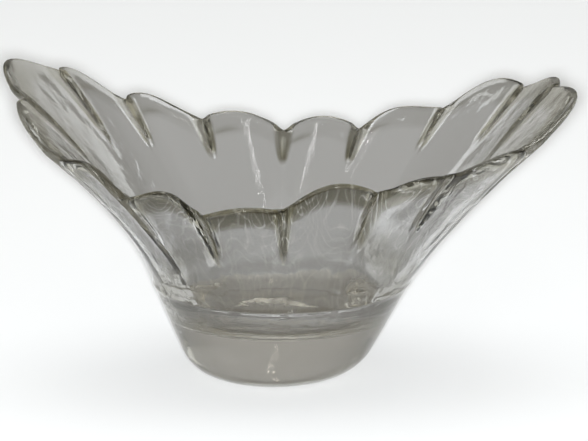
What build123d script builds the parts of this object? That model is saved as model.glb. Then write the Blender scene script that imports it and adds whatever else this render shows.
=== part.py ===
from build123d import *

import os
from math import copysign, cos, radians, sin, tan

# Clear glass bowl for floating candles: an oval wall of pressed petals, drawn up at both ends, on a solid
# round foot whose top is dished into the bowl's floor. Foot and wall meet at the ring line that shows on
# the outside. Millimetres, +Z up, origin in the middle of the foot's underside, long way along X.

# Foot
ring_radius = 65.5  # the ring line where foot and wall meet
ring_height = 48.5
ring_shift = 4.0  # the foot leans: its ring line lies this far along X from its underside
foot_radius = 42.0  # where the foot's side would reach the table if its edge were sharp
foot_edge_radius = 24.0
floor_height = 32.0  # the bowl's level floor
dish_lean = 8.0  # degrees from upright of the dish's side
dish_corner = 9.0  # rounding between the dish's side and the floor

# Wall
ring_wall = 9.0  # level thickness at the ring line
rim_wall = 5.6  # thickness at the rim
flare_out = 0.31  # the wall heads first for a point this share of the way out to the rim
flare_skew = 0.08  # more so at the +X end and less so at the other
flare_up = 0.5  # and this share of the way up, then turns to the rim

# Rim, measured through the creases between the petals
rim_length = 271.5
rim_width = 148.5
rim_fullness = 2.5  # exponent of the oval: 2 is an ellipse, more is squarer
rim_shift = 4.0  # the rim is drawn this far along X from the ring line's middle
side_height = 104.0
end_height = 142.0
end_sweep = 1.7  # the larger, the later the rim climbs towards its ends
end_twist = -6.5  # degrees that the two high ends are turned from X
end_tilt = 15.5  # both ends are drawn up more on their +Y side

# Petals
petals = 16
petal_phase = -10.3  # degrees from +X to the first petal's middle
petal_spread = 14.6  # degrees by which petals are drawn wider towards the ends
petal_bulge = 6.5  # a petal's middle stands out from the line between its creases
petal_rise = 4.6  # and above it
petal_shoulder = 0.2  # share of the way across at which its bow turns: the less, the fuller the petal
tongue_petals = (0, 8)  # drawn out further, one at each end; petals are counted from +X towards +Y
tongue_reach = 9.3
proud_petals = (8, 10, 11, 13)  # drawn up higher than the rest
proud_rise = 6.4

UP = Vector(0, 0, 1)
WALL_LEVELS = (0, 0.5, 1)  # from the ring line to the rim
LIP_ANGLES = (0, 30, 60, 90, 120, 150, 180)  # from the outside over the top to the inside
BOW_HANDLE = 4 / 3  # a cubic's two handles stand this much further out than its middle
ROUND_SHOULDER = 1 / 3  # and turn here in a plain bow, as on the round ring line

inner_radius = ring_radius - ring_wall
rim_middle = ring_shift + rim_shift


def bearing(half_step):
    """Bearing on the ring line; even half steps are petal middles and odd ones are creases."""
    return radians(half_step * 180 / petals + petal_phase)


def crease_point(half_step):
    """Outer edge of the rim at a crease, on an oval that climbs to its two ends."""
    turn = bearing(half_step) + radians(petal_spread) * sin(2 * bearing(half_step))
    along = copysign(abs(cos(turn)) ** (2 / rim_fullness), cos(turn))
    across = copysign(abs(sin(turn)) ** (2 / rim_fullness), sin(turn))
    climb = (end_height - side_height) * abs(cos(turn - radians(end_twist))) ** end_sweep
    tilt = end_tilt * sin(turn) * abs(cos(turn))
    return Vector(rim_middle + along * rim_length / 2, across * rim_width / 2, side_height + climb + tilt)


def rim_point(half_step):
    """Outer edge of the rim at a crease or at a petal's middle, which bows out between two creases."""
    if half_step % 2 == 1:
        return crease_point(half_step)
    before, after = crease_point(half_step - 1), crease_point(half_step + 1)
    outward = (after - before).cross(UP).normalized()
    bulge = petal_bulge + (tongue_reach if half_step // 2 in tongue_petals else 0)
    rise = petal_rise + (proud_rise if half_step // 2 in proud_petals else 0)
    return (before + after) / 2 + outward * bulge + UP * rise


def ring_point(half_step, radius):
    """Point on the ring line's level at a distance from its middle."""
    turn = bearing(half_step)
    return Vector(ring_shift + radius * cos(turn), radius * sin(turn), ring_height)


def wall_bend(start, rim):
    """Point that a wall line heads for from the ring line before it turns to the rim."""
    way = rim - start
    out = flare_out + flare_skew * (rim.X - rim_middle) / (rim_length / 2)
    return start + Vector(way.X * out, way.Y * out, way.Z * flare_up)


def wall_point(start, rim, level):
    """Point on a wall line, which curves from the ring line to the rim."""
    return start * (1 - level) ** 2 + wall_bend(start, rim) * (2 * level * (1 - level)) + rim * level**2


def rim_frame(half_step):
    """Directions at the rim: along the wall, and square to it outwards."""
    rim = rim_point(half_step)
    along_wall = (rim - wall_bend(ring_point(half_step, ring_radius), rim)).normalized()
    outward = Vector(rim.X - rim_middle, rim.Y, 0)
    return along_wall, (outward - along_wall * outward.dot(along_wall)).normalized()


def outer_point(half_step, level):
    return wall_point(ring_point(half_step, ring_radius), rim_point(half_step), level)


def inner_point(half_step, level):
    inner_rim = rim_point(half_step) - rim_frame(half_step)[1] * rim_wall
    return wall_point(ring_point(half_step, inner_radius), inner_rim, level)


def lip_point(half_step, angle):
    """Point on the rounded lip."""
    along_wall, outward = rim_frame(half_step)
    middle = rim_point(half_step) - outward * (rim_wall / 2)
    return middle + (outward * cos(radians(angle)) + along_wall * sin(radians(angle))) * (rim_wall / 2)


def petal_loop(point_at, place, fullness):
    """Closed loop of one bow per petal, from a crease over the petal's middle to the next crease."""
    turn_share = ROUND_SHOULDER + (petal_shoulder - ROUND_SHOULDER) * fullness
    with BuildLine() as loop:
        for petal in range(petals):
            start = point_at(2 * petal - 1, place)
            middle = point_at(2 * petal, place)
            end = point_at((2 * petal + 1) % (2 * petals), place)
            bow = (middle - (start + end) / 2) * BOW_HANDLE
            shoulder = (end - start) * turn_share
            Bezier(start, start + shoulder + bow, end - shoulder + bow, end)
    return loop.wire()


# Petal wall: three skins, up the outside, over the lip and down the inside, closed by a flat ring below
outer_loops = [petal_loop(outer_point, level, level) for level in WALL_LEVELS]
lip_loops = [petal_loop(lip_point, angle, 1) for angle in LIP_ANGLES]
inner_loops = [petal_loop(inner_point, level, level) for level in WALL_LEVELS]
outside, inside = Shell.make_loft(outer_loops), Shell.make_loft(inner_loops)
lip = Shell.make_loft(lip_loops, ruled=True)
wall_faces = outside.faces() + lip.faces() + inside.faces()
wall_faces.append(Face(outer_loops[0], [inner_loops[0]]))

with BuildPart() as petal_wall:
    add(Solid(Shell(wall_faces)))

# Solid foot: a leaning taper with a rounded bottom edge, its top dished down to the bowl's floor
with BuildPart() as solid_foot:
    with BuildSketch(Plane.XY):
        Circle(foot_radius)
    with BuildSketch(Plane.XY.offset(ring_height)):
        with Locations((ring_shift, 0)):
            Circle(ring_radius)
    loft()
    fillet(solid_foot.edges().group_by(Axis.Z)[0], foot_edge_radius)
    with BuildSketch(Plane.XZ) as dish:
        floor_radius = inner_radius - (ring_height - floor_height) * tan(radians(dish_lean))
        with BuildLine():
            Polyline(
                (ring_shift, ring_height),
                (ring_shift + inner_radius, ring_height),
                (ring_shift + floor_radius, floor_height),
                (ring_shift, floor_height),
                close=True,
            )
        make_face()
        fillet(dish.vertices().group_by(Axis.Y)[0].sort_by(Axis.X)[-1], dish_corner)
    revolve(axis=Axis((ring_shift, 0, 0), (0, 0, 1)), mode=Mode.SUBTRACT)

petal_wall.part.label = "petal_wall"
solid_foot.part.label = "solid_foot"

os.makedirs("parts", exist_ok=True)
export_step(petal_wall.part, "parts/petal_wall.step")
export_step(solid_foot.part, "parts/solid_foot.step")
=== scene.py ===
from math import cos, pi, radians, sin

import bpy
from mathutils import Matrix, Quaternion, Vector


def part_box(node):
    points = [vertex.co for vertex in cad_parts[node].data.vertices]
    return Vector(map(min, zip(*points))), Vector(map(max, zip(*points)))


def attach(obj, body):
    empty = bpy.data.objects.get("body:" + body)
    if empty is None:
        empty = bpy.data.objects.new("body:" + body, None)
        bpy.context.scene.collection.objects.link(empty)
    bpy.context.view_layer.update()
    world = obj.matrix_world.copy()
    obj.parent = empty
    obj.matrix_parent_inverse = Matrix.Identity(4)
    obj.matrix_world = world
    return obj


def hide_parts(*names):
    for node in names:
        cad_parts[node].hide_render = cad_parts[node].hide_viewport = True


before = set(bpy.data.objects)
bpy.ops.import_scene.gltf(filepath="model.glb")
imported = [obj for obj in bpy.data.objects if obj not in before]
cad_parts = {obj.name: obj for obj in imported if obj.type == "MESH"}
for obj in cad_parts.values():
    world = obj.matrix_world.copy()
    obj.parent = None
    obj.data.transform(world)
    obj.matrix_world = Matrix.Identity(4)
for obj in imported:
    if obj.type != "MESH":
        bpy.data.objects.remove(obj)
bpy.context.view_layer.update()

# The bowl is one piece of thick clear glass, pressed in a mould and then pulled while hot, so that its
# petals spread and its two ends sweep up. The solid foot, its dished floor and the petal wall are one skin,
# and the bowl stands loose on the ring round its foot's slightly hollow underside.
mm = 0.001
foot_low, foot_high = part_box("solid_foot")
petal_count = 16
sizes = {
    "Ring Radius": (foot_high.x - foot_low.x) / 2,  # the ring line, where the foot ends and the wall starts
    "Ring Height": foot_high.z,
    "Ring Shift": (foot_high.x + foot_low.x) / 2,  # the foot leans this far along X
    "Foot Radius": 42 * mm,  # where the foot's side would reach the table if its edge were sharp
    "Foot Edge": 24 * mm,  # rounding of the foot's bottom edge
    "Foot Recess": 1.2 * mm,
    "Recess Fullness": 4.0,  # the higher, the flatter the hollow under the foot
    "Floor Height": 32 * mm,
    "Dish Lean": radians(8),  # of the dish's side, from upright
    "Dish Corner": 9 * mm,  # rounding between the dish's side and the floor
    "Ring Wall": 9 * mm,
    "Rim Wall": 5.6 * mm,
    "Wall Thinning": 3.0,  # the higher, the sooner the wall thins above the ring line
    "Flare Out": 0.31,  # the wall heads first for a point this share of the way out to the rim
    "Flare Skew": 0.08,  # more so at the +X end and less so at the other
    "Flare Up": 0.5,  # and this share of the way up, then turns to the rim
    "Rim Length": 271.5 * mm,  # the rim is measured through the creases between the petals
    "Rim Width": 148.5 * mm,
    "Rim Fullness": 2.5,  # exponent of the oval: 2 is an ellipse, more is squarer
    "Rim Shift": 4 * mm,  # the rim is drawn this far along X from the ring line's middle
    "Side Height": 104 * mm,
    "End Height": 142 * mm,
    "End Sweep": 1.7,  # the larger, the later the rim climbs towards its ends
    "End Twist": radians(-6.5),  # the two high ends are turned this far from X
    "End Tilt": 15.5 * mm,  # both ends are drawn up more on their +Y side
    "Petals": petal_count,
    "Petal Phase": radians(-10.3),  # from +X to the first petal's middle
    "Petal Spread": radians(14.6),  # petals are drawn wider towards the ends
    "Petal Bulge": 6.5 * mm,  # a petal's middle stands out from the line between its creases
    "Petal Rise": 4.6 * mm,  # and above it
    "Petal Shoulder": 0.2,  # the less, the fuller the petal
    "Petal Wave": 0.5,  # from a plain bow at 0 to a wave at 1
    "Petal Lean": 0.4,  # the more, the further a leaning petal's crest lies past its middle
    "Tongue Reach": 9.3 * mm,
    "Proud Rise": 6.4 * mm,
    "Lip Height": 5.5 * mm,  # of the rounded lip, above the wall that carries it
    "Pinch Depth": 5 * mm,
    "Pinch Width": 7.5 * mm,
    "Pinch Reach": 0.37,  # share of the wall's height
    "Pinch Skew": 0.3,  # grooves are longer by this share on the near side and shorter on the far side
    "Pinch Inside": 0.8,  # depth on the inside, as a share of that on the outside
    "Far Pinch": 0.6,  # depth on the far side, as a share of that on the near side
    "Brow Level": 0.93,  # share of the wall's height at which a far petal has its painted dark brow of shade
    "Brow Width": 0.025,
    "Ring Bead": 0.9 * mm,
    "Bead Width": 1.5 * mm,
    "Far Bead": 0.1,  # height on the far side, as a share of that on the near side
    "Ripple": 0.35 * mm,
    "Ripple Scale": 38.0,
    "Ripple Onset": 3.0,  # the higher, the closer below the ring line the ripples start
}

# Petals are counted from +X towards +Y; crease 1.5 lies between petals 1 and 2, and -0.5 is 15.5 once more
tongue_petals = (0, 8)
proud_petals = (0, 8, 10, 11, 13)
half_proud_petals = (2,)
leaning_petals = (3, 6, 7, 10, 11, 15)
pulled_creases = {  # how far along the rim, as a share of a petal's step, and how far up
    -0.5: (0, -8 * mm),
    1.5: (-0.2, -5 * mm),
    2.5: (-0.14, -3 * mm),
    3.5: (0, -2.4 * mm),
    5.5: (0.16, -3.4 * mm),
    6.5: (0.155, -6.5 * mm),
    10.5: (-0.167, -3 * mm),
    11.5: (-0.22, -5.5 * mm),
    12.5: (-0.09, -5 * mm),
    13.5: (0.14, 0),
    15.5: (0, -8 * mm),
}

# The glass is a grid of columns round the bowl and rows along its section, from the underside to the floor
columns_per_petal = 28
rows = {
    "underside": 8,
    "edge": 24,
    "side": 20,
    "outside": 52,
    "lip": 14,
    "inside": 40,
    "dish": 5,
    "corner": 10,
    "floor": 14,
}
crease_crowding = 0.6  # columns draw together at the creases; 0 spreads them evenly
side_crowding = 1.7  # rows draw together at the ring line; 1 spreads them evenly
outside_crowding = 1.4

shape = bpy.data.node_groups.new("glass_bowl_shape", "GeometryNodeTree")
shape.interface.new_socket("Geometry", in_out="INPUT", socket_type="NodeSocketGeometry")
shape.interface.new_socket("Geometry", in_out="OUTPUT", socket_type="NodeSocketGeometry")
for size_name in sizes:
    shape.interface.new_socket(size_name, in_out="INPUT", socket_type="NodeSocketFloat")
given = shape.nodes.new("NodeGroupInput")


class Field:
    """A number that changes over the glass, held as a socket of the tree and used like any number."""

    def __init__(self, socket):
        self.socket = socket

    def __add__(self, other):
        return work_out("ADD", self, other)

    def __sub__(self, other):
        return work_out("SUBTRACT", self, other)

    def __rsub__(self, other):
        return work_out("SUBTRACT", other, self)

    def __mul__(self, other):
        return work_out("MULTIPLY", self, other)

    def __truediv__(self, other):
        return work_out("DIVIDE", self, other)

    def __rtruediv__(self, other):
        return work_out("DIVIDE", other, self)

    def __pow__(self, other):
        return work_out("POWER", self, other)

    __radd__ = __add__
    __rmul__ = __mul__


def fill_inputs(tree, node, inputs):
    """Sets inputs of a node, each to a plain value or to the field or output that feeds it."""
    for input_name, value in inputs.items():
        source = value.socket if isinstance(value, Field) else value
        if isinstance(source, bpy.types.NodeSocket):
            tree.links.new(source, node.inputs[input_name])
        else:
            node.inputs[input_name].default_value = source


def add_node(tree, kind, inputs, **settings):
    """Adds a node with its settings and inputs."""
    node = tree.nodes.new(kind)
    for setting, value in settings.items():
        setattr(node, setting, value)
    fill_inputs(tree, node, inputs)
    return node


def calculate(tree, operation, *values):
    """Adds a math node and gives its output."""
    return add_node(tree, "ShaderNodeMath", dict(enumerate(values)), operation=operation).outputs[0]


def work_out(operation, *values):
    """Adds a math node to the bowl's shape and gives its output as a field."""
    return Field(calculate(shape, operation, *values))


def size(size_name):
    return Field(given.outputs[size_name])


def sine(angle):
    return work_out("SINE", angle)


def cosine(angle):
    return work_out("COSINE", angle)


def root(value):
    return work_out("SQRT", value)


def at_most(value, limit):
    return work_out("MINIMUM", value, limit)


def clamp(value):
    """The value held between 0 and 1."""
    return at_most(work_out("MAXIMUM", value, 0.0), 1.0)


def hill(distance):
    """A smooth hill: 1 where the distance is 0, and almost 0 beyond 2 on both sides."""
    return work_out("EXPONENT", distance * distance * -1)


def signed_power(value, exponent):
    return work_out("SIGN", value) * work_out("ABSOLUTE", value) ** exponent


def is_number(value, number):
    """1 where the value is this number, 0 elsewhere."""
    return work_out("COMPARE", value, number, 0.1)


def move(point, way, share):
    """The point moved along a way by a share of it."""
    return [p + w * share for p, w in zip(point, way)]


def dot(a, b):
    return a[0] * b[0] + a[1] * b[1] + a[2] * b[2]


def unit(way):
    length = root(dot(way, way))
    return [w / length for w in way]


# Each vertex of the flat grid is told apart by its column and row
column_count = petal_count * columns_per_petal
row_count = sum(rows.values()) + 1
grid_size = {"Vertices X": column_count + 1, "Vertices Y": row_count}
grid = add_node(shape, "GeometryNodeMeshGrid", grid_size)
index = Field(shape.nodes.new("GeometryNodeInputIndex").outputs[0])
column = work_out("FLOOR", index / row_count)
row = index - column * row_count
petal = work_out("FLOOR", column / columns_per_petal)
even_share = column / columns_per_petal - petal
across_petal = even_share - sine(even_share * 2 * pi) * crease_crowding / (2 * pi)
petal_step = 2 * pi / size("Petals")
bearing = (petal + across_petal - 0.5) * petal_step + size("Petal Phase")


def fading(far_share):
    """1 on the near side of the bowl, which falls to a share on the far side."""
    return 1 - (1 - far_share) * (sine(bearing) + 1) / 2


def is_petal(numbers):
    """1 on the petals with these numbers, 0 elsewhere."""
    found = [is_number(petal, number) for number in numbers]
    return sum(found[1:], found[0])


def crease_point(crease_number):
    """Rim at a crease, on an oval that climbs to its two ends, with the pull that the crease has had."""
    aside, lift = crease_number * 0, crease_number * 0
    for number, (pulled_aside, pulled_up) in pulled_creases.items():
        found = is_number(crease_number, number)
        aside, lift = aside + found * pulled_aside, lift + found * pulled_up
    crease = (crease_number + aside) * petal_step + size("Petal Phase")
    turn = crease + size("Petal Spread") * sine(crease * 2)
    out_x = signed_power(cosine(turn), 2 / size("Rim Fullness"))
    out_y = signed_power(sine(turn), 2 / size("Rim Fullness"))
    climb = work_out("ABSOLUTE", cosine(turn - size("End Twist"))) ** size("End Sweep")
    tilt = size("End Tilt") * sine(turn) * work_out("ABSOLUTE", cosine(turn))
    return [
        size("Ring Shift") + size("Rim Shift") + out_x * size("Rim Length") / 2,
        out_y * size("Rim Width") / 2,
        size("Side Height") + (size("End Height") - size("Side Height")) * climb + tilt + lift,
    ]


# The rim: a chord from crease to crease, from which the petal bows out and up
before, after = crease_point(petal - 0.5), crease_point(petal + 0.5)
chord = [a - b for a, b in zip(after, before)]
chord_out = unit([chord[1], chord[0] * -1, chord[0] * 0])
remaining = 1 - across_petal
shoulder = size("Petal Shoulder") * remaining + (1 - size("Petal Shoulder")) * across_petal
along_chord = 3 * across_petal * remaining * shoulder + across_petal**3
leaned = across_petal ** (size("Petal Lean") * is_petal(leaning_petals) + 1)
plain_bow = 4 * leaned * (1 - leaned)
bow = plain_bow + (sine(leaned * pi) ** 2 - plain_bow) * size("Petal Wave")
bulge = size("Petal Bulge") + size("Tongue Reach") * is_petal(tongue_petals)
proud = is_petal(proud_petals) + is_petal(half_proud_petals) / 2
rise = size("Petal Rise") + size("Proud Rise") * proud
rim = move(before, chord, along_chord)
rim = move(rim, [chord_out[0] * bulge, chord_out[1] * bulge, rise], bow)

# The wall line from the ring line to the rim, and the rim's own directions
rim_middle = size("Ring Shift") + size("Rim Shift")
flare_out = size("Flare Out") + size("Flare Skew") * (rim[0] - rim_middle) * 2 / size("Rim Length")
flare = [flare_out, flare_out, size("Flare Up")]
ring_out = [cosine(bearing), sine(bearing), bearing * 0]
outer_start = move([size("Ring Shift"), 0, size("Ring Height")], ring_out, size("Ring Radius"))
inner_radius = size("Ring Radius") - size("Ring Wall")
along_wall = unit([(r - s) * (1 - f) for r, s, f in zip(rim, outer_start, flare)])
level_out = [rim[0] - rim_middle, rim[1], rim[2] * 0]
rim_out = unit(move(level_out, along_wall, dot(level_out, along_wall) * -1))
outer_rim = move(rim, along_wall, size("Rim Wall") / 2 - size("Lip Height"))


def wall_line(level):
    """Point on the outside's line, which heads for a bend before it turns to the rim."""
    shares = [f * 2 * level * (1 - level) + level * level for f in flare]
    return [s + (r - s) * share for s, r, share in zip(outer_start, outer_rim, shares)]


# A tool has pressed each crease inwards into a groove that narrows to a point part of the way down the wall
crease_distance = (0.5 - work_out("ABSOLUTE", across_petal - 0.5)) * root(dot(chord, chord))
inward = unit([level_out[0] * -1, level_out[1] * -1, level_out[2]])
groove_length = size("Pinch Reach") * (1 - size("Pinch Skew") * sine(bearing))


def groove(level):
    """How far up the groove a level lies, and how far into it, both from 0 to 1."""
    reach = work_out("MAXIMUM", (level - 1) / groove_length + 1, 0.0)
    aside = at_most(crease_distance / (size("Pinch Width") * root(reach)), 1.0)
    return reach, (1 - aside * aside) ** 2


def pinched(point, level, depth):
    """The point of a wall line at a level, moved inwards where its crease is pressed in."""
    reach, into = groove(level)
    return move(point, inward, depth * reach * into * fading(size("Far Pinch")))


def ring_bead(height):
    """How far the bead that the mould's joint leaves on the ring line stands out at a height."""
    off_ring = (height - size("Ring Height")) / size("Bead Width")
    return size("Ring Bead") * fading(size("Far Bead")) * hill(off_ring)


def outside_point(level):
    """Point on the outside of the wall."""
    point = pinched(wall_line(level), level, size("Pinch Depth"))
    return move(point, ring_out, ring_bead(point[2]))


def inside_point(level):
    """Point on the inside: the wall soon thins above the ring line and is then even up to the rim."""
    thinned = 1 - (1 - level) ** size("Wall Thinning")
    point = move(wall_line(level), ring_out, size("Ring Wall") * (thinned - 1))
    point = move(point, rim_out, size("Rim Wall") * thinned * -1)
    return pinched(point, level, size("Pinch Depth") * size("Pinch Inside"))


# The nine stretches of the section, each with its share of the rows
first_rows = {}
row_total = 0
for stretch, stretch_rows in rows.items():
    first_rows[stretch] = row_total
    row_total += stretch_rows


def share_of(stretch):
    """How far along its stretch a row lies, from 0 to 1."""
    return clamp((row - first_rows[stretch]) / rows[stretch])


def foot_point(radius, height):
    """Point of the leaning foot at a radius and height."""
    lean = size("Ring Shift") * height / size("Ring Height")
    return [lean + radius * cosine(bearing), radius * sine(bearing), height]


def dish_point(radius, height):
    """Point of the dish inside the foot at a radius and height."""
    return [size("Ring Shift") + radius * cosine(bearing), radius * sine(bearing), height]


underside_height = size("Foot Recess") * (1 - share_of("underside") ** size("Recess Fullness"))
side_slope = (size("Ring Radius") - size("Foot Radius")) / size("Ring Height")
side_lean = work_out("ARCTANGENT", side_slope)
edge_middle = size("Foot Radius") + size("Foot Edge") * (side_slope - 1 / cosine(side_lean))
edge_turn = (share_of("edge") - 1) * (pi / 2 - side_lean) - side_lean
edge_radius = edge_middle + size("Foot Edge") * cosine(edge_turn)
edge_height = size("Foot Edge") * (1 + sine(edge_turn))
edge_top = size("Foot Edge") * (1 - sine(side_lean))
side_fall = (size("Ring Height") - edge_top) * (1 - share_of("side")) ** side_crowding
side_height = size("Ring Height") - side_fall
side_radius = size("Foot Radius") + side_height * side_slope + ring_bead(side_height)
outside_level = share_of("outside") ** outside_crowding
lip_turn = share_of("lip") * pi
lip_start, lip_end = outside_point(lip_turn * 0 + 1), inside_point(lip_turn * 0 + 1)
lip_middle = [(s + e) / 2 for s, e in zip(lip_start, lip_end)]
lip_side = [m + (s - m) * cosine(lip_turn) for m, s in zip(lip_middle, lip_start)]
inside_level = 1 - share_of("inside")
dish_slope = work_out("TANGENT", size("Dish Lean"))
corner_lift = size("Dish Corner") * (1 - sine(size("Dish Lean")))
dish_depth = (size("Ring Height") - size("Floor Height") - corner_lift) * share_of("dish")
corner_depth = size("Ring Height") - size("Floor Height") - size("Dish Corner")
corner_middle = inner_radius - corner_depth * dish_slope - size("Dish Corner") / cosine(size("Dish Lean"))
corner_turn = size("Dish Lean") + (pi / 2 - size("Dish Lean")) * share_of("corner")
corner_radius = corner_middle + size("Dish Corner") * cosine(corner_turn)
corner_height = size("Floor Height") + size("Dish Corner") * (1 - sine(corner_turn))
section = {
    "underside": foot_point(edge_middle * share_of("underside"), underside_height),
    "edge": foot_point(edge_radius, edge_height),
    "side": foot_point(side_radius, side_height),
    "outside": outside_point(outside_level),
    "lip": move(lip_side, along_wall, size("Lip Height") * sine(lip_turn)),
    "inside": inside_point(inside_level),
    "dish": dish_point(inner_radius - dish_depth * dish_slope, size("Ring Height") - dish_depth),
    "corner": dish_point(corner_radius, corner_height),
    "floor": dish_point(corner_middle * (1 - share_of("floor")), size("Floor Height")),
}
place = None
for stretch in reversed(section):
    joined = add_node(shape, "ShaderNodeCombineXYZ", dict(enumerate(section[stretch]))).outputs[0]
    if place is None:
        place = joined
        continue
    is_past = work_out("GREATER_THAN", row, first_rows[stretch] + rows[stretch] + 0.5)
    choice = {"Switch": is_past, "False": joined, "True": place}
    place = add_node(shape, "GeometryNodeSwitch", choice, input_type="VECTOR").outputs[0]


def next_step(kind, geometry, inputs):
    """Adds a node that changes the mesh so far, and gives the new mesh."""
    return add_node(shape, kind, {"Geometry": geometry, **inputs}).outputs[0]


def note(geometry, note_name, value):
    """Keeps a value with each vertex of the mesh under a name, for later steps and for the material."""
    return next_step("GeometryNodeStoreNamedAttribute", geometry, {"Name": note_name, "Value": value})


# Where the glass is softened: along the creases
softened_from = 0.75  # share of the way from a petal's middle to its crease
near_crease = work_out("ABSOLUTE", across_petal - 0.5) * 2
soft = clamp((near_crease - softened_from) / (1 - softened_from))

# Painted shade, olive over the glass's colour: most in the grooves and along the near lip, and less under the
# far petals' brows, at both ends of the ring line, on the tongues, round the dish's corner and in a line low
# on the foot
groove_full_depth = 0.4  # share of a groove's depth from which its painted shade is full
groove_full_length = 0.25  # and share of its length
groove_top_fade = 0.3  # the painted shade is less by this share at the rim
lip_shade = 0.9
far_lip = 1 / 9  # share of it that is left on the far side
lip_from = 0.89  # share of the wall's height from which the lip has painted shade
lip_full = 0.93
brow_shade = 0.7
ring_end_shade = 0.65
tongue_shade = 0.25
corner_shade = 0.55
corner_shade_row = 3  # the corner's row with the most painted shade
corner_shade_rows = 3.5  # rows over which the painted shade falls off on both sides
foot_line_shade = 0.5
line_height = 6 * mm
line_width = 0.8 * mm
position = shape.nodes.new("GeometryNodeInputPosition").outputs[0]
height_now = Field(add_node(shape, "ShaderNodeSeparateXYZ", {"Vector": position}).outputs["Z"])
wall_level = at_most(outside_level, inside_level)
groove_reach, groove_depth = groove(wall_level)
in_groove = at_most(groove_depth / groove_full_depth, 1.0) * at_most(groove_reach / groove_full_length, 1.0)
near_lip = clamp((wall_level - lip_from) / (lip_full - lip_from))
half_petal = work_out("MAXIMUM", sine((across_petal - 0.5) * 2 * pi), 0.0)
far_side = clamp(sine(bearing) * 2)
on_brow = hill((inside_level - size("Brow Level")) / size("Brow Width")) * half_petal * far_side
at_ring_end = hill((height_now - size("Ring Height")) / size("Ring Wall")) * cosine(bearing) ** 2
painted_shade = near_lip * fading(far_lip) * lip_shade
for shade_mark in (
    in_groove * (1 - groove_reach * groove_top_fade),
    on_brow * brow_shade,
    at_ring_end * ring_end_shade,
    is_petal(tongue_petals) * wall_level * tongue_shade,
    hill((row - first_rows["corner"] - corner_shade_row) / corner_shade_rows) * corner_shade,
    hill((height_now - line_height) / line_width) * foot_line_shade,
):
    painted_shade = work_out("MAXIMUM", painted_shade, shade_mark)

# The bowl's floor, from half way round the dish's corner
floor_first_row = first_rows["corner"] + 5.5
dished = work_out("GREATER_THAN", row, floor_first_row)

# The grid takes the bowl's shape and is closed, then hot glass rounds its creases and ripples a little
shaped = next_step("GeometryNodeSetPosition", grid.outputs["Mesh"], {"Position": place})
noted = note(note(note(shaped, "soft", soft), "painted_shade", painted_shade), "dished", dished)
closed = next_step("GeometryNodeMergeByDistance", noted, {"Distance": 0.01 * mm})
soft_noted = add_node(shape, "GeometryNodeInputNamedAttribute", {"Name": "soft"}, data_type="FLOAT")
blur_inputs = {"Value": position, "Iterations": 5, "Weight": soft_noted.outputs[0]}
blur = add_node(shape, "GeometryNodeBlurAttribute", blur_inputs, data_type="FLOAT_VECTOR").outputs[0]
softened = next_step("GeometryNodeSetPosition", closed, {"Position": blur})
noise_inputs = {"Scale": size("Ripple Scale"), "Detail": 3.0, "Roughness": 0.5}
noise = Field(add_node(shape, "ShaderNodeTexNoise", noise_inputs).outputs[0])
above_table = at_most(height_now / size("Ring Height"), 1.0) ** size("Ripple Onset")
ripple = (noise - 1) * 2 * size("Ripple") * above_table  # always inwards, so that the bowl keeps its box
normal = shape.nodes.new("GeometryNodeInputNormal").outputs[0]
ripple_inputs = {"Vector": normal, "Scale": ripple}
ripple_way = add_node(shape, "ShaderNodeVectorMath", ripple_inputs, operation="SCALE").outputs[0]
rippled = next_step("GeometryNodeSetPosition", softened, {"Offset": ripple_way})
smooth = next_step("GeometryNodeSetShadeSmooth", rippled, {})
realized = next_step("GeometryNodeRealizeInstances", smooth, {})

# Clear glass, paler square-on than edge-on, partly for its longer path edge-on and partly as painted shade,
# with an olive tint where light runs a long way through it, painted olive shade where the mesh notes it, and
# painted highlight lines on the near wall
square_on_grey = (0.80, 0.80, 0.805, 1)
edge_on_grey = (0.28, 0.275, 0.25, 1)
painted_shade_olive = (0.16, 0.145, 0.075, 1)
highlight_white = (1.0, 1.0, 0.98, 1)
floor_brown = (0.74, 0.68, 0.55, 1)
long_way_olive = (0.90, 0.88, 0.78, 1)
glass = bpy.data.materials.new("clear_glass")
glass.use_nodes = True
glass_tree = glass.node_tree


def colour_ramp(tree, value, stops):
    """Adds a ramp with a colour at each stop, and gives its colour at the value."""
    ramp = add_node(tree, "ShaderNodeValToRGB", {"Fac": value})
    elements = ramp.color_ramp.elements
    for number, (stop, colour) in enumerate(stops.items()):
        element = elements[number] if number < len(elements) else elements.new(stop)
        element.position, element.color = stop, colour
    return ramp.outputs["Color"]


def spread(tree, value, inputs, **settings):
    """Adds a Map Range node, which goes from 0 at From Min to To Max, or else 1, at From Max."""
    return add_node(tree, "ShaderNodeMapRange", {"Value": value, **inputs}, **settings).outputs[0]


def blend(tree, amount, first, second):
    """Blends two colours."""
    inputs = {"Factor": amount, "A": first, "B": second}
    return add_node(tree, "ShaderNodeMix", inputs, data_type="RGBA").outputs["Result"]


def glass_noise(scale, inputs):
    """Noise in the glass, drawn out along the ways in which the scale is small."""
    drawn = add_node(glass_tree, "ShaderNodeMapping", {"Vector": place_on_glass, "Scale": scale}).outputs[0]
    return add_node(glass_tree, "ShaderNodeTexNoise", {"Vector": drawn, **inputs}).outputs["Fac"]


place_on_glass = glass_tree.nodes.new("ShaderNodeTexCoord").outputs["Object"]
coordinates = add_node(glass_tree, "ShaderNodeSeparateXYZ", {"Vector": place_on_glass}).outputs

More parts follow.
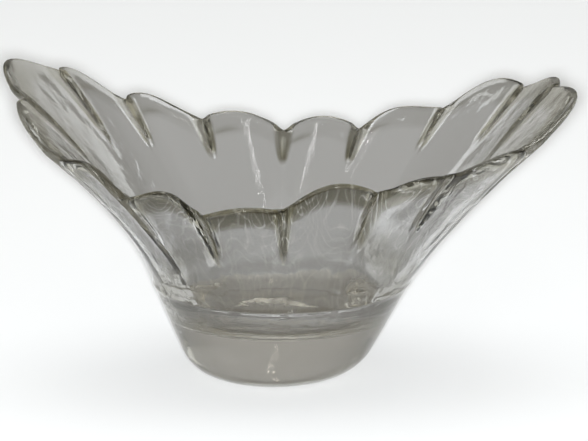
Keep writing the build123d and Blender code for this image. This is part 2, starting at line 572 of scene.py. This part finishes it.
# Cords that the pressing leaves in the wall, and level ones round the dish, ruffle the surface a little
up_the_wall = (1, 1, 0.35)  # the less along a way, the longer the cords are there
round_the_dish = (0.2, 0.2, 1)
wall_cords_from = 36 * mm  # heights from which the wall's cords start and are full
wall_cords_full = 56 * mm
dish_level = 41 * mm
dish_cord_reach = 12 * mm  # above and below that level
dish_cord_strength = 1.4  # against 1 for the wall's cords
above_foot = spread(glass_tree, coordinates["Z"], {"From Min": wall_cords_from, "From Max": wall_cords_full})
wall_cords = glass_noise(up_the_wall, {"Scale": 130, "Detail": 2, "Distortion": 0.6})
dish_cords = glass_noise(round_the_dish, {"Scale": 190, "Detail": 2, "Distortion": 1.2})
from_dish = calculate(glass_tree, "ABSOLUTE", calculate(glass_tree, "SUBTRACT", coordinates["Z"], dish_level))
dish_range = {"From Min": dish_cord_reach, "From Max": 0, "To Max": dish_cord_strength}
near_dish = spread(glass_tree, from_dish, dish_range, interpolation_type="SMOOTHSTEP")
wall_relief = calculate(glass_tree, "MULTIPLY", wall_cords, above_foot)
relief = calculate(glass_tree, "MULTIPLY_ADD", dish_cords, near_dish, wall_relief)
bump_inputs = {"Strength": 0.5, "Distance": 0.4 * mm, "Height": relief}
cord_bump = add_node(glass_tree, "ShaderNodeBump", bump_inputs).outputs[0]

# Painted highlights: fine light lines over the near wall, drawn from stretched noise in place of reflected
# light
highlight_line_count = 18
highlight_line_width = 0.12  # share of the step between lines
highlight_strength = 0.9
highlights_from = 10 * mm  # places along Y from which the painted highlights start and are full
highlights_full = -55 * mm
highlight_noise = glass_noise(up_the_wall, {"Scale": 34, "Detail": 1.5, "Distortion": 0.8})
from_highlight_line = calculate(glass_tree, "PINGPONG", calculate(glass_tree, "MULTIPLY", highlight_noise, highlight_line_count), 0.5)
highlight_lines = spread(glass_tree, from_highlight_line, {"From Min": highlight_line_width, "From Max": 0.0, "To Max": highlight_strength})
near_side = spread(glass_tree, coordinates["Y"], {"From Min": highlights_from, "From Max": highlights_full})
near_highlights = calculate(glass_tree, "MULTIPLY", highlight_lines, near_side)
highlights_shown = calculate(glass_tree, "MULTIPLY", near_highlights, above_foot)

facing = add_node(glass_tree, "ShaderNodeLayerWeight", {"Blend": 0.5}).outputs["Facing"]
painted_shade_noted = add_node(glass_tree, "ShaderNodeAttribute", {}, attribute_name="painted_shade").outputs["Fac"]
dished_noted = add_node(glass_tree, "ShaderNodeAttribute", {}, attribute_name="dished").outputs["Fac"]
# Darker edge-on, partly for the longer path through the glass and partly as painted shade
tint_and_edge_shade = colour_ramp(glass_tree, facing, {0.15: square_on_grey, 0.8: edge_on_grey})
# Painted shade: the glass's colour turns olive where the mesh notes painted shade
with_painted_shade = blend(glass_tree, painted_shade_noted, tint_and_edge_shade, painted_shade_olive)
# Painted highlights: light lines blended into the glass's colour
highlighted = blend(glass_tree, highlights_shown, with_painted_shade, highlight_white)
floored = blend(glass_tree, dished_noted, highlighted, floor_brown)
glass_inputs = {
    "Base Color": floored,
    "Transmission Weight": 1.0,
    "Roughness": 0.0,
    "IOR": 1.5,
    "Normal": cord_bump,
}
fill_inputs(glass_tree, glass_tree.nodes["Principled BSDF"], glass_inputs)
long_way_inputs = {"Color": long_way_olive, "Density": 5.5}
long_way_tint = add_node(glass_tree, "ShaderNodeVolumeAbsorption", long_way_inputs)
fill_inputs(glass_tree, glass_tree.nodes["Material Output"], {"Volume": long_way_tint.outputs[0]})
glazed = next_step("GeometryNodeSetMaterial", realized, {"Material": glass})
add_node(shape, "NodeGroupOutput", {"Geometry": glazed})

grown = bpy.data.objects.new("bowl_shape", bpy.data.meshes.new("bowl_shape"))
bpy.context.scene.collection.objects.link(grown)
modifier = grown.modifiers.new("Shape", "NODES")
modifier.node_group = shape
for item in shape.interface.items_tree:
    if item.name in sizes:
        modifier[item.identifier] = float(sizes[item.name])
evaluated = grown.evaluated_get(bpy.context.evaluated_depsgraph_get())
bowl_mesh = bpy.data.meshes.new_from_object(evaluated)
bpy.data.objects.remove(grown)
bowl = bpy.data.objects.new("glass_bowl", bowl_mesh)
bpy.context.scene.collection.objects.link(bowl)
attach(bowl, "root")
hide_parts("petal_wall", "solid_foot")

# The stage is a wide floor of pale matt paint, on which the bowl stands and throws its shadow.
# It is no part of the bowl.
bpy.ops.mesh.primitive_circle_add(vertices=96, radius=6, fill_type="NGON")
floor = bpy.context.object
floor.name = "floor"
floor_paint = bpy.data.materials.new("floor_paint")
floor_paint.use_nodes = True
paint_inputs = {"Base Color": (0.88, 0.88, 0.88, 1), "Roughness": 0.9}
fill_inputs(floor_paint.node_tree, floor_paint.node_tree.nodes["Principled BSDF"], paint_inputs)
floor.data.materials.append(floor_paint)

# The room round the stage is plain grey, darker near the floor and lighter above, with a paler screen behind
# the bowl that shows through its glass. Heights and depths are those of a direction's unit arrow.
low_grey = (0.15, 0.142, 0.12, 1)
high_grey = (0.36, 0.35, 0.32, 1)
screen_grey = (0.42, 0.408, 0.385, 1)
over_screen_grey = (0.30, 0.29, 0.265, 1)
room = bpy.data.worlds.new("room")
room.use_nodes = True
room_tree = room.node_tree
direction = room_tree.nodes.new("ShaderNodeTexCoord").outputs["Generated"]
arrow = add_node(room_tree, "ShaderNodeSeparateXYZ", {"Vector": direction}).outputs
walls = colour_ramp(room_tree, arrow["Z"], {0.05: low_grey, 0.6: high_grey})
screen_stops = {0.07: low_grey, 0.17: screen_grey, 0.45: screen_grey, 0.6: over_screen_grey}
screen = colour_ramp(room_tree, arrow["Z"], screen_stops)
towards_back = spread(room_tree, arrow["Y"], {"From Min": 0.35, "From Max": 0.85})
room_grey = blend(room_tree, towards_back, walls, screen)
fill_inputs(room_tree, room_tree.nodes["Background"], {"Color": room_grey})
bpy.context.scene.world = room

# The camera stands a little above the rim, square to the bowl's long side.
# It is turned so that the bowl has the size, place and slant that the photograph shows.
middle = Vector((10.2 * mm, 0, 78.4 * mm))  # the point of the bowl that the camera and the lamps face
photo_width = 588  # pixels
pixels_per_metre = 1982.4  # at the bowl's middle
camera_distance = 2.6
camera_elevation = 15.2  # degrees
camera_roll = -0.56


def way_from_bowl(azimuth, elevation):
    """A direction from the bowl, given in degrees; azimuth 0 is in front of it and 90 on its right."""
    a, e = radians(azimuth), radians(elevation)
    return Vector((sin(a) * cos(e), -cos(a) * cos(e), sin(e)))


camera_data = bpy.data.cameras.new("camera")
camera_data.sensor_width = 36
camera_data.lens = pixels_per_metre * camera_distance * camera_data.sensor_width / photo_width
camera = bpy.data.objects.new("camera", camera_data)
bpy.context.scene.collection.objects.link(camera)
back = way_from_bowl(0, camera_elevation)
camera.location = middle + back * camera_distance
camera.rotation_mode = "QUATERNION"
rolled = Quaternion((0, 0, 1), radians(camera_roll))
camera.rotation_quaternion = (-back).to_track_quat("-Z", "Y") @ rolled
bpy.context.scene.camera = camera
bpy.context.scene.view_settings.view_transform = "Standard"
bpy.context.scene.cycles.max_bounces = 32
bpy.context.scene.cycles.transmission_bounces = 32
bpy.context.scene.cycles.glossy_bounces = 16

# The lamps are a wide soft box overhead, two tall narrow strips and a small window in front, which draw
# bright lines in the glass, and a small key at the camera, so that the bowl's shadow falls behind it.
day_white = (0.92, 0.96, 1.0)
key_white = (0.94, 0.97, 1.0)


def soft_box(lamp_name, azimuth, elevation, distance, width, height, power):
    """An area lamp that faces the bowl."""
    lamp_data = bpy.data.lights.new(lamp_name, "AREA")
    lamp_data.shape = "RECTANGLE"
    lamp_data.size, lamp_data.size_y = width, height
    lamp_data.energy = power
    lamp = bpy.data.objects.new(lamp_name, lamp_data)
    bpy.context.scene.collection.objects.link(lamp)
    away = way_from_bowl(azimuth, elevation)
    lamp.location = middle + away * distance
    lamp.rotation_mode = "QUATERNION"
    lamp.rotation_quaternion = away.to_track_quat("Z", "Y")
    return lamp


overhead = soft_box("overhead", azimuth=180, elevation=80, distance=2.2, width=1.6, height=1.6, power=11.2)
overhead.data.color = day_white
for strip_name, strip_azimuth in (("outer_strip", 6.5), ("inner_strip", 3.5)):
    soft_box(strip_name, strip_azimuth, elevation=25, distance=2.4, width=0.03, height=1.8, power=2)
soft_box("window", azimuth=-10, elevation=30, distance=3.0, width=0.06, height=0.09, power=1.3)

# The key is as bright on the floor behind the bowl as on the bowl, and isn't seen in the glass
key = soft_box("key", 0, camera_elevation, distance=2.45, width=0.05, height=0.05, power=160)
key.data.color = key_white
key.data.use_nodes = True
key_tree = key.data.node_tree
even = add_node(key_tree, "ShaderNodeLightFalloff", {"Strength": 1 / camera_distance**2})
fill_inputs(key_tree, key_tree.nodes["Emission"], {"Strength": even.outputs["Constant"]})
key.visible_glossy = False
key.visible_transmission = False
